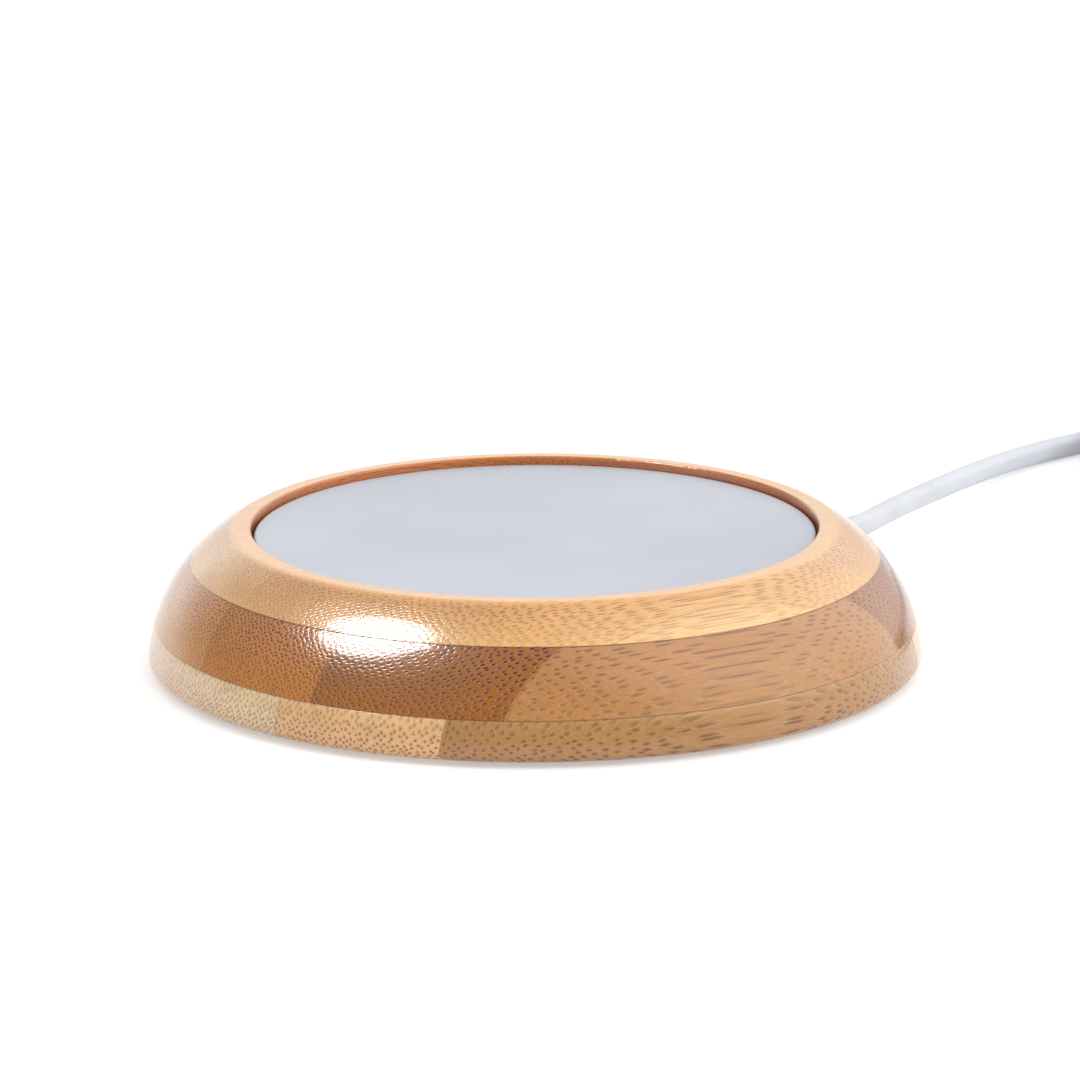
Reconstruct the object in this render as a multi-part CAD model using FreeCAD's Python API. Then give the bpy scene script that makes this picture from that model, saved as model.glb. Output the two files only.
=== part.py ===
import FreeCAD, Part
import math
import os

os.makedirs("parts", exist_ok=True)

# An electric mug warmer: a turned bamboo ring round a heated aluminium plate, and its coiled lead.
# Millimetres. +Z is up, z = 0 is the table, the ring's axis is the Z axis, and the lead leaves along +Y.

V = FreeCAD.Vector
UP = V(0, 0, 1)
ALONG_Y = V(0, 1, 0)

# The turned ring
RING_R = 55.0
RING_H = 19.5
FOOT_PROUD = 0.8
RING_Z0 = FOOT_PROUD
RING_TOP = RING_Z0 + RING_H
DOME_ARC_R = 22.7
BOTTOM_FILLET_R = 1.2
DOME_START_ANGLE = 0.09
CROWN_R = 3.5
RECESS_R = 40.25
RECESS_LIP_R = 0.35
LOW_JOINT_Z = RING_Z0 + 5.8
HIGH_JOINT_Z = RING_Z0 + 14.75
LEDGE_R = 36.5
LEDGE_TOP = 16.85
LEDGE_BOTTOM = 13.3
CAVITY_R = 43.0
REBATE_R = 48.0
COVER_T = 2.0
REBATE_Z = RING_Z0 + COVER_T

# The heating stack, from the top down
PLATE_R = 39.9
PLATE_TOP = RING_TOP - 1.15
PLATE_T = 1.8
PLATE_EDGE_R = 0.4
PLATE_Z0 = PLATE_TOP - PLATE_T
SEAL_R0 = 36.7
SEAL_R1 = 40.0
FILM_R = 36.0
FILM_T = 0.2
FILM_Z0 = PLATE_Z0 - FILM_T
TRACE_T = 0.12
TRACE_Z0 = FILM_Z0 - TRACE_T
TRACE_W = 2.6
TRACE_STEP = 4.6
TRACE_RINGS = 7
TRACE_OUTER_R = 35.0
TRACE_GAP_W = 9.0
PAD_R = 35.5
PAN_TOP = 15.0
PAN_T = 0.8
PAN_R = 31.0
PAN_FLANGE_R0 = 33.0
PAN_FLANGE_R1 = 38.0
EAR_R = 3.0
EAR_AT_R = 39.6
EAR_ANGLES = (20, 110, 200, 290)
WIRE_HOLE_R = 3.0
WIRE_HOLE_AT = (10.0, -8.0)

# Screws
SMALL_SHANK_R = 0.9
SMALL_HEAD_R = 1.9
SMALL_HEAD_T = 1.2
RETAINER_SHANK_L = 3.0
COVER_SHANK_R = 1.1
COVER_HEAD_R = 2.1
COVER_SHANK_TOP = 8.6
COVER_SCREW_AT_R = 45.5
COVER_SCREW_ANGLES = (45, 135, 225, 315)
PILOT_GAP = 0.05
CROSS_W = 0.5

# The cut-out, its clip, and the splices
CUTOUT_AT = (-11.0, -2.0)
CUTOUT_SIZE = (8.0, 15.0, 4.2)
CUTOUT_TOP = PAN_TOP - PAN_T
TAB_SIZE = (2.4, 3.0, 0.4)
CLIP_T = 0.5
CLIP_W = 5.0
CLIP_FOOT = 4.0
SPLICE_R = 1.3
SPLICE_L = 8.0
CORE_R = 0.6

# The bottom cover and the feet
COVER_R = 47.8
SKIRT_R1 = 42.7
SKIRT_T = 1.4
SKIRT_H = 3.4
RIB_T = 1.2
RIB_H = 2.2
RIB_COUNT = 8
HUB_R = 9.0
FOOT_R = 5.0
FOOT_AT_R = 35.5
FOOT_ANGLES = (0, 90, 180, 270)
FOOT_EDGE_R = 0.5
POCKET_GAP = 0.1
POCKET_D = 0.8

# The lead
CORD_R = 1.7
CORD_GAP = 0.05
EXIT_Z = 7.8
EXIT_BORE_R = 3.1
RELIEF_R = 3.0
RELIEF_FLANGE_R = 4.4
RELIEF_FLANGE_Y = (40.6, 42.2)
RELIEF_END_Y = 56.0
RELIEF_NOSE_R = 0.9
RELIEF_GROOVES = 3
RELIEF_GROOVE_Y = 46.0
RELIEF_GROOVE_STEP = 2.0
RELIEF_GROOVE_W = 0.8
RELIEF_GROOVE_D = 0.4
RELIEF_GROOVE_SLOPE = 0.15
LEAD_END_Y = 22.0
CLAMP_Y = 28.0
CLAMP_SIZE = (17.0, 5.0, 3.0)
CLAMP_SCREW_X = 5.9
CLAMP_SCREW_L = 7.0
POST_R = 2.4

# The free stretch of the lead, from the strain relief to the coil: points chosen by hand
RUN_ROUTE = (
    (0.0, 56.0, 7.8),
    (0.0, 62.0, 7.8),
    (-0.9, 67.5, 7.1),
    (-3.4, 73.4, 6.2),
    (-6.7, 80.3, 5.65),
    (-10.7, 89.7, 4.95),
    (-14.4, 99.5, 4.25),
    (-17.9, 109.0, 3.6),
    (-21.0, 118.0, 3.0),
    (-23.3, 126.1, 2.5),
    (-25.0, 133.9, 2.1),
    (-25.9, 140.6, 1.85),
    (-26.0, 147.0, 1.7),
)

# The put-away coil: two layers, wound clockwise from the outside in, then out again on top
COIL_CENTRE = (4.4, 158.8)
COIL_START_DEG = 164.0
COIL_OUTER_R = 27.3
COIL_PITCH = 3.9
COIL_LAYER_TURNS = 3.45
COIL_CLIMB_TURNS = 0.5
COIL_LOW_Z = CORD_R
COIL_LAYER_STEP = 4.0
COIL_APPROACH = 8.0

# The tail, from the coil to the plug: points chosen by hand
TAIL_ROUTE = (
    (36.9, 149.8, 4.9),
    (39.8, 142.0, 4.2),
    (41.0, 134.5, 4.0),
    (41.0, 128.0, 4.0),
)

# The plug, a flat four-contact supply plug lying on its broad side
PLUG_NECK_L = 7.0
PLUG_NECK_R = (2.3, 3.3)
PLUG_BODY = (15.6, 22.0, 8.0)
PLUG_BODY_R = 2.2
PLUG_BODY_END_R = 0.8
GRIP_COUNT = 4
GRIP_STEP = 2.4
GRIP_R = 0.6
SHELL_SIZE = (12.0, 18.5, 4.5)
SHELL_WALL = 0.3
SHELL_WINDOW = (2.0, 2.4)
SHELL_WINDOW_X = 2.6
SHELL_WINDOW_Y = 6.0
TONGUE_T = 1.8
CONTACT_SIZE = (1.0, 11.0, 0.25)
CONTACT_XS = (-3.5, -1.0, 1.0, 3.5)


def save(name, shape):
    """Write one sub-part."""
    shape.exportStep(f"parts/{name}.step")
    print(name, len(shape.Solids), "solids", round(shape.Volume, 1), "mm3")


def group(shapes):
    """Separate solids that share one node."""
    return Part.makeCompound(shapes)


def disc(radius, low, high, at=(0, 0)):
    """A flat round solid between two heights."""
    return Part.makeCylinder(radius, high - low, V(at[0], at[1], low))


def washer(inner, outer, low, high):
    """A flat ring between two radii and two heights."""
    return disc(outer, low, high).cut(disc(inner, low - 1, high + 1))


def slab(size, centre, low):
    """A block by its plan size and centre, standing on a height."""
    width, depth, height = size
    return Part.makeBox(width, depth, height, V(centre[0] - width / 2, centre[1] - depth / 2, low))


def at_angle(radius, degrees):
    """A plan position on a circle round the axis."""
    angle = math.radians(degrees)
    return (radius * math.cos(angle), radius * math.sin(angle))


def lines(points):
    """Straight edges through the points, in order."""
    return [Part.LineSegment(a, b).toShape() for a, b in zip(points, points[1:])]


def turned(edges, axis=UP):
    """A solid of revolution about an axis through the origin, from its closed half section."""
    return Part.Face(Part.Wire(edges)).revolve(V(0, 0, 0), axis, 360)


def turned_outline(pairs):
    """A solid of revolution about Z from straight (radius, height) corners."""
    points = [V(r, 0, z) for r, z in pairs]
    return turned(lines(points + points[:1]))


def ring_blank():
    """The turned ring before its holes: domed outside, recessed on top, hollow below."""
    fillet_at = V(RING_R - BOTTOM_FILLET_R, 0, RING_Z0 + BOTTOM_FILLET_R)
    start_way = V(math.cos(DOME_START_ANGLE), 0, math.sin(DOME_START_ANGLE))
    dome_at = fillet_at - start_way * (DOME_ARC_R - BOTTOM_FILLET_R)
    crown_z = RING_TOP - CROWN_R - dome_at.z
    top_angle = math.asin(crown_z / (DOME_ARC_R - CROWN_R))
    crown_mid = (top_angle + math.pi / 2) / 2
    mid_angle = (DOME_START_ANGLE + top_angle) / 2
    fillet_mid = (DOME_START_ANGLE - math.pi / 2) / 2

    def on(centre, radius, angle):
        return centre + V(math.cos(angle), 0, math.sin(angle)) * radius

    bottom = on(fillet_at, BOTTOM_FILLET_R, -math.pi / 2)
    tangent = on(fillet_at, BOTTOM_FILLET_R, DOME_START_ANGLE)
    shoulder = on(dome_at, DOME_ARC_R, top_angle)
    crown_at = on(dome_at, DOME_ARC_R - CROWN_R, top_angle)
    land = on(crown_at, CROWN_R, math.pi / 2)
    lip_at = V(RECESS_R + RECESS_LIP_R, 0, RING_TOP - RECESS_LIP_R)
    lip_start = on(lip_at, RECESS_LIP_R, math.pi / 2)
    lip_end = on(lip_at, RECESS_LIP_R, math.pi)
    edges = [
        Part.Arc(bottom, on(fillet_at, BOTTOM_FILLET_R, fillet_mid), tangent).toShape(),
        Part.Arc(tangent, on(dome_at, DOME_ARC_R, mid_angle), shoulder).toShape(),
        Part.Arc(shoulder, on(crown_at, CROWN_R, crown_mid), land).toShape(),
        Part.LineSegment(land, lip_start).toShape(),
        Part.Arc(lip_start, on(lip_at, RECESS_LIP_R, 0.75 * math.pi), lip_end).toShape(),
    ]
    inside = [
        lip_end,
        V(RECESS_R, 0, LEDGE_TOP),
        V(LEDGE_R, 0, LEDGE_TOP),
        V(LEDGE_R, 0, LEDGE_BOTTOM),
        V(CAVITY_R, 0, LEDGE_BOTTOM),
        V(CAVITY_R, 0, REBATE_Z),
        V(REBATE_R, 0, REBATE_Z),
        V(REBATE_R, 0, RING_Z0),
        bottom,
    ]
    return turned(edges + lines(inside))


def bamboo_plies():
    """The ring's three glued plies, cut at the two joints, with the lead's bore and the pilot holes."""
    ring = ring_blank()
    cuts = [Part.makeCylinder(EXIT_BORE_R, RING_R, V(0, LEDGE_R, EXIT_Z), ALONG_Y)]
    for degrees in COVER_SCREW_ANGLES:
        at = at_angle(COVER_SCREW_AT_R, degrees)
        cuts.append(disc(COVER_SHANK_R + PILOT_GAP, RING_Z0, COVER_SHANK_TOP + 0.3, at))
    for degrees in EAR_ANGLES:
        at = at_angle(EAR_AT_R, degrees)
        top = LEDGE_BOTTOM + RETAINER_SHANK_L + 0.2
        cuts.append(disc(SMALL_SHANK_R + PILOT_GAP, LEDGE_BOTTOM - 1, top, at))
    ring = ring.cut(cuts)
    reach = RING_R + 1
    save("bamboo_bottom_ply", ring.common(disc(reach, RING_Z0 - 1, LOW_JOINT_Z)))
    save("bamboo_middle_ply", ring.common(disc(reach, LOW_JOINT_Z, HIGH_JOINT_Z)))
    save("bamboo_top_ply", ring.common(disc(reach, HIGH_JOINT_Z, RING_TOP + 1)))


def heating_plate():
    """The aluminium plate that the mug stands on, with its top edge rounded."""
    plate = disc(PLATE_R, PLATE_Z0, PLATE_TOP)
    rim = [e for e in plate.Edges if abs(e.BoundBox.ZMin - PLATE_TOP) < 0.01 and e.Length > PLATE_R]
    return plate.makeFillet(PLATE_EDGE_R, rim)


def heater_trace():
    """The etched foil track: one unbroken strip that goes back and forth in rings from tab to tab."""
    height = TRACE_T
    radii = [TRACE_OUTER_R - TRACE_STEP * k for k in range(TRACE_RINGS)]
    gap = slab((TRACE_GAP_W, TRACE_OUTER_R, height * 4), (0, -TRACE_OUTER_R / 2), TRACE_Z0 - height)
    bands = []
    for radius in radii:
        bands.append(washer(radius - TRACE_W, radius, TRACE_Z0, TRACE_Z0 + height).cut(gap))
    track = bands[0]
    for k in range(1, TRACE_RINGS):
        side = 1 if k % 2 else -1
        outer = math.sqrt(radii[k - 1] ** 2 - (TRACE_GAP_W / 2) ** 2)
        inner = math.sqrt((radii[k] - TRACE_W) ** 2 - (TRACE_GAP_W / 2) ** 2)
        link = slab(
            (TRACE_W, outer - inner - TRACE_W / 4, height),
            (side * (TRACE_GAP_W / 2 + TRACE_W / 2), -(outer + inner) / 2),
            TRACE_Z0,
        )
        link = link.common(disc(radii[k - 1], TRACE_Z0 - 1, PLATE_Z0))
        track = track.fuse([bands[k], link])
    return track.removeSplitter()


def insulation_pad():
    """The felt disc between the heater and the retainer, with its wire hole."""
    pad = disc(PAD_R, PAN_TOP, TRACE_Z0)
    return pad.cut(disc(WIRE_HOLE_R, PAN_TOP - 1, TRACE_Z0 + 1, WIRE_HOLE_AT))


def retainer_plate():
    """The pressed-steel pan that holds the heater stack up, with four screw ears."""
    low = LEDGE_BOTTOM - PAN_T
    pan = turned_outline(
        (
            (0, PAN_TOP),
            (PAN_R, PAN_TOP),
            (PAN_FLANGE_R0, LEDGE_BOTTOM),
            (PAN_FLANGE_R1, LEDGE_BOTTOM),
            (PAN_FLANGE_R1, low),
            (PAN_FLANGE_R0 - 0.4, low),
            (PAN_R - 0.4, PAN_TOP - PAN_T),
            (0, PAN_TOP - PAN_T),
        )
    )
    ears = [disc(EAR_R, low, LEDGE_BOTTOM, at_angle(EAR_AT_R, a)) for a in EAR_ANGLES]
    holes = [disc(SMALL_SHANK_R + 0.15, low - 1, PAN_TOP, at_angle(EAR_AT_R, a)) for a in EAR_ANGLES]
    holes.append(disc(WIRE_HOLE_R, low - 1, PAN_TOP + 1, WIRE_HOLE_AT))
    return pan.fuse(ears).cut(holes).removeSplitter()


def pan_head_screw(at, seat, length, up=True):
    """A small round-headed screw whose head seats at a height, its shank pointing up or down."""
    way = 1 if up else -1
    shank = Part.makeCylinder(SMALL_SHANK_R, length, V(at[0], at[1], seat), UP * way)
    head = Part.makeCylinder(SMALL_HEAD_R, SMALL_HEAD_T, V(at[0], at[1], seat), UP * -way)
    cross_low = seat - SMALL_HEAD_T - 0.01 if up else seat + SMALL_HEAD_T / 2
    depth = SMALL_HEAD_T / 2 + 0.01
    cross = slab((CROSS_W, SMALL_HEAD_R * 1.3, depth), at, cross_low)
    bar = slab((SMALL_HEAD_R * 1.3, CROSS_W, depth), at, cross_low)
    return head.fuse(shank).cut([cross, bar])


def cover_screw(at):
    """A countersunk screw up through the cover into the ring."""
    low = RING_Z0 + 0.1
    cone_h = COVER_HEAD_R - COVER_SHANK_R
    head = Part.makeCone(COVER_HEAD_R, COVER_SHANK_R, cone_h, V(at[0], at[1], low))
    shank = disc(COVER_SHANK_R, low + cone_h, COVER_SHANK_TOP, at)
    cross = slab((CROSS_W, COVER_HEAD_R * 1.2, 0.6), at, low - 0.01)
    bar = slab((COVER_HEAD_R * 1.2, CROSS_W, 0.6), at, low - 0.01)
    return head.fuse(shank).cut([cross, bar])


def thermal_cutout():
    """The sealed bimetal cut-out: a small flat can with a tab at each end."""
    width, depth, height = CUTOUT_SIZE
    can = slab(CUTOUT_SIZE, CUTOUT_AT, CUTOUT_TOP - height)
    can = can.makeFillet(0.8, [e for e in can.Edges if e.BoundBox.ZLength > height / 2])
    tab_low = CUTOUT_TOP - height / 2
    tabs = []
    for side in (-1, 1):
        centre = (CUTOUT_AT[0], CUTOUT_AT[1] + side * (depth + TAB_SIZE[1]) / 2)
        tabs.append(slab(TAB_SIZE, centre, tab_low))
    return can.fuse(tabs)


def cutout_clip():
    """The sheet strap that presses the cut-out to the retainer, with a foot on each side."""
    width, depth, height = CUTOUT_SIZE
    inner = width + 0.2
    low = CUTOUT_TOP - height - CLIP_T
    outer = slab((inner + 2 * CLIP_T, CLIP_W, height + CLIP_T), CUTOUT_AT, low)
    strap = outer.cut(slab((inner, CLIP_W + 1, height + 1), CUTOUT_AT, low + CLIP_T))
    feet = []
    for side in (-1, 1):
        centre = (CUTOUT_AT[0] + side * (inner / 2 + CLIP_FOOT / 2), CUTOUT_AT[1])
        feet.append(slab((CLIP_FOOT, CLIP_W, CLIP_T), centre, CUTOUT_TOP - CLIP_T))
    return strap.fuse(feet).removeSplitter()


def corner_arc(start, corner, end):
    """The arc from start to end that is tangent to the two lines through the corner."""
    middle = (start + end) * 0.5
    half = (end - start).Length / 2
    turn = (corner - start).getAngle(end - corner)
    out = corner - middle
    out.normalize()
    return Part.Arc(start, middle + out * (half * math.tan(turn / 4)), end).toShape()


def route_wire(points):
    """Straight runs joined by tangent arcs, each as large as its two runs allow. Also gives the radii."""
    edges = []
    radii = []
    here = points[0]
    for before, corner, after in zip(points, points[1:], points[2:]):
        back = before - corner
        on = after - corner
        reach = 0.45 * min(back.Length, on.Length)
        turn = math.pi - back.getAngle(on)
        radii.append(reach / math.tan(turn / 2))
        start = corner + back * (reach / back.Length)
        end = corner + on * (reach / on.Length)
        edges.append(Part.LineSegment(here, start).toShape())
        edges.append(corner_arc(start, corner, end))
        here = end
    edges.append(Part.LineSegment(here, points[-1]).toShape())
    return Part.Wire(edges), radii


def tube(wire, radius, start, way):
    """A round solid along a wire."""
    section = Part.Wire([Part.makeCircle(radius, start, way)])
    return wire.makePipeShell([section], True, False)


def tube_along(name, points, radius):
    """A free stretch of the lead, with its radii and volume printed."""
    points = [V(*p) for p in points]
    wire, radii = route_wire(points)
    solid = tube(wire, radius, points[0], points[1] - points[0])
    ideal = math.pi * radius**2 * wire.Length
    print(name, "length", round(wire.Length, 1), "mm, arc radii", [round(r, 1) for r in radii])
    print(name, "volume", round(solid.Volume, 1), "against section by length", round(ideal, 1))
    return solid


def wire_core(points):
    """A thin insulated wire along its points."""
    points = [V(*p) for p in points]
    wire, radii = route_wire(points)
    return tube(wire, CORE_R, points[0], points[1] - points[0])


def splice_places():
    """The two splices, side by side in the hollow, by the middle of each."""
    return ((5.0, 9.0, 10.6), (-11.0, 15.5, 10.6))


def splice_sleeves():
    """Two crimped sleeves with a waist, lying along the lead."""
    sleeves = []
    for x, y, z in splice_places():
        waist = SPLICE_R - 0.3
        steps = [(0.0, SPLICE_R), (0.3, SPLICE_R), (0.4, waist)]
        steps += [(0.6, waist), (0.7, SPLICE_R), (1.0, SPLICE_R)]
        points = [V(0, 0, 0)]
        points += [V(r, s * SPLICE_L, 0) for s, r in steps]
        points += [V(0, SPLICE_L, 0)]
        sleeve = turned(lines(points + points[:1]), ALONG_Y)
        sleeve.translate(V(x, y - SPLICE_L / 2, z))
        sleeves.append(sleeve)
    return group(sleeves)


def lead_cores():
    """The lead's two insulated cores, from its stripped end to the splices."""
    (ax, ay, az), (bx, by, bz) = splice_places()
    end_a = ay + SPLICE_L / 2
    end_b = by + SPLICE_L / 2
    core_a = wire_core(
        (
            (0.8, LEAD_END_Y, EXIT_Z),
            (1.2, LEAD_END_Y - 2.5, EXIT_Z + 0.4),
            (3.6, end_a + 4.0, az - 0.4),
            (ax, end_a, az),
        )
    )
    core_b = wire_core(
        (
            (-0.8, LEAD_END_Y, EXIT_Z),
            (-1.6, LEAD_END_Y - 3.0, EXIT_Z + 0.3),
            (-5.0, LEAD_END_Y - 3.5, EXIT_Z + 1.4),
            (-8.0, LEAD_END_Y - 0.5, bz - 0.6),
            (-10.4, end_b + 3.4, bz),
            (bx, end_b, bz),
        )
    )
    return group([core_a, core_b])


def heater_leads():
    """Three sleeved wires: splice to heater, splice to cut-out, and cut-out to heater."""
    (ax, ay, az), (bx, by, bz) = splice_places()
    hole_x, hole_y = WIRE_HOLE_AT
    cut_x, cut_y = CUTOUT_AT
    reach = CUTOUT_SIZE[1] / 2 + TAB_SIZE[1]
    tab_z = CUTOUT_TOP - CUTOUT_SIZE[2] / 2 + TAB_SIZE[2] / 2
    first = wire_core(
        (
            (ax, ay - SPLICE_L / 2, az),
            (6.0, 0.5, 10.4),
            (hole_x - 1.4, hole_y + 3.5, 10.6),
            (hole_x - 1.0, hole_y + 0.4, 13.4),
            (hole_x - 1.0, hole_y, TRACE_Z0),
        )
    )
    low_b = by - SPLICE_L / 2
    bend = (bx + 0.2, low_b - 1.4, bz + 0.5)
    second = wire_core(((bx, low_b, bz), bend, (cut_x, cut_y + reach, tab_z)))
    third = wire_core(
        (
            (cut_x, cut_y - reach, tab_z),
            (cut_x + 1.5, cut_y - reach - 4.5, 11.0),
            (cut_x + 9.0, cut_y - reach - 5.0, 10.2),
            (hole_x - 2.0, hole_y - 4.5, 10.4),
            (hole_x + 1.0, hole_y - 0.6, 13.2),
            (hole_x + 1.0, hole_y, TRACE_Z0),
        )
    )
    return group([first, second, third])


def strain_relief():
    """The moulded grommet in the ring's bore: a flange, gripping grooves and a rounded nose."""
    flange_y0, flange_y1 = RELIEF_FLANGE_Y
    bore = CORD_R + CORD_GAP
    outline = [(flange_y0, bore), (flange_y0, RELIEF_FLANGE_R)]
    outline += [(flange_y1, RELIEF_FLANGE_R), (flange_y1, RELIEF_R)]
    for k in range(RELIEF_GROOVES):
        low = RELIEF_GROOVE_Y + RELIEF_GROOVE_STEP * k
        high = low + RELIEF_GROOVE_W
        floor_r = RELIEF_R - RELIEF_GROOVE_D
        outline += [(low, RELIEF_R), (low + RELIEF_GROOVE_SLOPE, floor_r)]
        outline += [(high - RELIEF_GROOVE_SLOPE, floor_r), (high, RELIEF_R)]
    outline += [(RELIEF_END_Y, RELIEF_R), (RELIEF_END_Y, bore)]
    points = [V(r, y, 0) for y, r in outline]
    relief = turned(lines(points + points[:1]), ALONG_Y)
    bore_l = 2 * math.pi * bore
    nose = [e for e in relief.Edges if e.BoundBox.YMin > RELIEF_END_Y - 0.01 and e.Length > bore_l + 1]
    relief = relief.makeFillet(RELIEF_NOSE_R, nose)
    relief.translate(V(0, 0, EXIT_Z))
    return relief


def inner_lead():
    """The lead's last stretch, through the strain relief and the clamp."""
    return Part.makeCylinder(CORD_R, RELIEF_END_Y - LEAD_END_Y, V(0, LEAD_END_Y, EXIT_Z), ALONG_Y)


def lead_clamp():
    """The bar that grips the lead on the cover's saddle, hollowed over the lead."""
    bar = slab(CLAMP_SIZE, (0, CLAMP_Y), EXIT_Z + 0.1)
    bar = bar.makeFillet(1.2, [e for e in bar.Edges if e.BoundBox.ZLength > CLAMP_SIZE[2] / 2])
    channel = Part.makeCylinder(CORD_R + CORD_GAP, 20, V(0, CLAMP_Y - 10, EXIT_Z), ALONG_Y)
    holes = [disc(SMALL_SHANK_R + 0.15, 0, 20, (side * CLAMP_SCREW_X, CLAMP_Y)) for side in (-1, 1)]
    return bar.cut(holes + [channel])


def clamp_screws():
    """Two screws down through the clamp into the cover's posts."""
    seat = EXIT_Z + 0.1 + CLAMP_SIZE[2]
    places = [(side * CLAMP_SCREW_X, CLAMP_Y) for side in (-1, 1)]
    return group([pan_head_screw(at, seat, CLAMP_SCREW_L, up=False) for at in places])


def bottom_cover():
    """The moulded cover: a disc with a skirt, ribs, a hub, a saddle with posts, and foot pockets."""
    top = RING_Z0 + COVER_T
    cover = disc(COVER_R, RING_Z0, top)
    rim = [e for e in cover.Edges if abs(e.BoundBox.ZMax - RING_Z0) < 0.01 and e.Length > COVER_R]
    cover = cover.makeFillet(0.4, rim)
    skirt = washer(SKIRT_R1 - SKIRT_T, SKIRT_R1, top, top + SKIRT_H)
    notch_low = EXIT_Z - RELIEF_FLANGE_R - 0.2
    notch = slab((2 * RELIEF_FLANGE_R + 1.0, 12, SKIRT_H + 2), (0, SKIRT_R1), notch_low)
    skirt = skirt.cut(notch)
    ribs = []
    reach = SKIRT_R1 - SKIRT_T / 2
    for k in range(RIB_COUNT):
        rib = slab((reach - HUB_R + 1, RIB_T, RIB_H), ((reach + HUB_R - 1) / 2, 0), top)
        rib.rotate(V(0, 0, 0), UP, 360 * (k + 0.5) / RIB_COUNT)
        ribs.append(rib)
    hub = washer(HUB_R - RIB_T, HUB_R, top, top + RIB_H)
    posts = [disc(POST_R, top, EXIT_Z - 0.1, (side * CLAMP_SCREW_X, CLAMP_Y)) for side in (-1, 1)]
    saddle = slab((2 * CLAMP_SCREW_X, 3.0, EXIT_Z - 0.4 - top), (0, CLAMP_Y), top)
    cover = cover.fuse([skirt, hub, saddle] + ribs + posts).removeSplitter()
    cuts = [Part.makeCylinder(CORD_R + CORD_GAP, 20, V(0, CLAMP_Y - 10, EXIT_Z), ALONG_Y)]
    for side in (-1, 1):
        cuts.append(disc(SMALL_SHANK_R + PILOT_GAP, top - 0.8, EXIT_Z, (side * CLAMP_SCREW_X, CLAMP_Y)))
    for degrees in FOOT_ANGLES:
        at = at_angle(FOOT_AT_R, degrees)
        cuts.append(disc(FOOT_R + POCKET_GAP, RING_Z0 - 1, RING_Z0 + POCKET_D, at))
    for degrees in COVER_SCREW_ANGLES:
        x, y = at_angle(COVER_SCREW_AT_R, degrees)
        flare = COVER_HEAD_R - COVER_SHANK_R
        seat = V(x, y, RING_Z0 + 0.1)
        cuts.append(Part.makeCone(COVER_HEAD_R + 0.1, COVER_SHANK_R + 0.1, flare, seat))
        cuts.append(disc(COVER_HEAD_R + 0.1, RING_Z0 - 1, RING_Z0 + 0.1, (x, y)))
        cuts.append(disc(COVER_SHANK_R + 0.1, RING_Z0, top + 1, (x, y)))
    return cover.cut(cuts)


def feet():
    """Four silicone pads, set in the cover's pockets and rounded where they meet the table."""
    pads = []
    for degrees in FOOT_ANGLES:
        pad = disc(FOOT_R, 0, RING_Z0 + POCKET_D, at_angle(FOOT_AT_R, degrees))
        rim = [e for e in pad.Edges if e.BoundBox.ZMax < 0.01 and e.Length > FOOT_R]
        pads.append(pad.makeFillet(FOOT_EDGE_R, rim))
    return group(pads)


def coil_point(turn):
    """The coil's centre line after so many turns: in on the lower layer, a climb, then out on the upper."""
    angle = math.radians(COIL_START_DEG) - 2 * math.pi * turn
    past = turn - COIL_LAYER_TURNS
    inner_r = COIL_OUTER_R - COIL_PITCH * COIL_LAYER_TURNS
    if past <= 0:
        radius = COIL_OUTER_R - COIL_PITCH * turn
        height = COIL_LOW_Z
    elif past < COIL_CLIMB_TURNS:
        radius = inner_r - COIL_PITCH * past * (1 - past / COIL_CLIMB_TURNS)
        share = past / COIL_CLIMB_TURNS
        height = COIL_LOW_Z + COIL_LAYER_STEP * share * share * (3 - 2 * share)
    else:
        radius = inner_r + COIL_PITCH * (past - COIL_CLIMB_TURNS)
        height = COIL_LOW_Z + COIL_LAYER_STEP
    x, y = COIL_CENTRE
    return V(x + radius * math.cos(angle), y + radius * math.sin(angle), height)


def coil_way(turn):
    """The direction of travel along the coil."""
    step = 1e-5
    way = coil_point(turn + step) - coil_point(turn - step)
    way.normalize()
    return way


def biarc(start, start_way, end, end_way):
    """Two tangent arcs from one point and direction to another."""
    span = end - start
    both = start_way + end_way
    spread = 2 * (1 - start_way.dot(end_way))
    along = span.dot(both)
    reach = (math.sqrt(along**2 + spread * span.dot(span)) - along) / spread
    corner = start + start_way * reach
    far_corner = end - end_way * reach
    joint = (corner + far_corner) * 0.5
    return [corner_arc(start, corner, joint), corner_arc(joint, far_corner, end)]


COIL_TURNS = 2 * COIL_LAYER_TURNS + COIL_CLIMB_TURNS


def coil_ends():
    """The middle of the coil's two end faces, one lead diameter straight on from the turns."""
    entry = coil_point(0) - coil_way(0) * (2 * CORD_R)
    leave = coil_point(COIL_TURNS) + coil_way(COIL_TURNS) * (2 * CORD_R)
    return entry, leave


def cord_coil():
    """The put-away lead as one unbroken tube."""
    spans = round(COIL_TURNS / 0.25)
    turns = [COIL_TURNS * k / spans for k in range(spans + 1)]
    entry, leave = coil_ends()
    edges = [Part.LineSegment(entry, coil_point(0)).toShape()]
    for a, b in zip(turns, turns[1:]):
        edges += biarc(coil_point(a), coil_way(a), coil_point(b), coil_way(b))
    edges.append(Part.LineSegment(coil_point(COIL_TURNS), leave).toShape())
    wire = Part.Wire(edges)
    solid = tube(wire, CORD_R, entry, coil_way(0))
    ideal = math.pi * CORD_R**2 * wire.Length
    print("cord_coil length", round(wire.Length, 1), "mm, tightest radius", round(tightest(edges), 1))
    print("cord_coil volume", round(solid.Volume, 1), "against section by length", round(ideal, 1))
    print("cord_coil least gap to itself", round(least_gap(), 2), "mm")
    return solid


def tightest(edges):
    """The smallest arc radius in a path."""
    return min(e.Curve.Radius for e in edges if hasattr(e.Curve, "Radius"))


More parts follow.
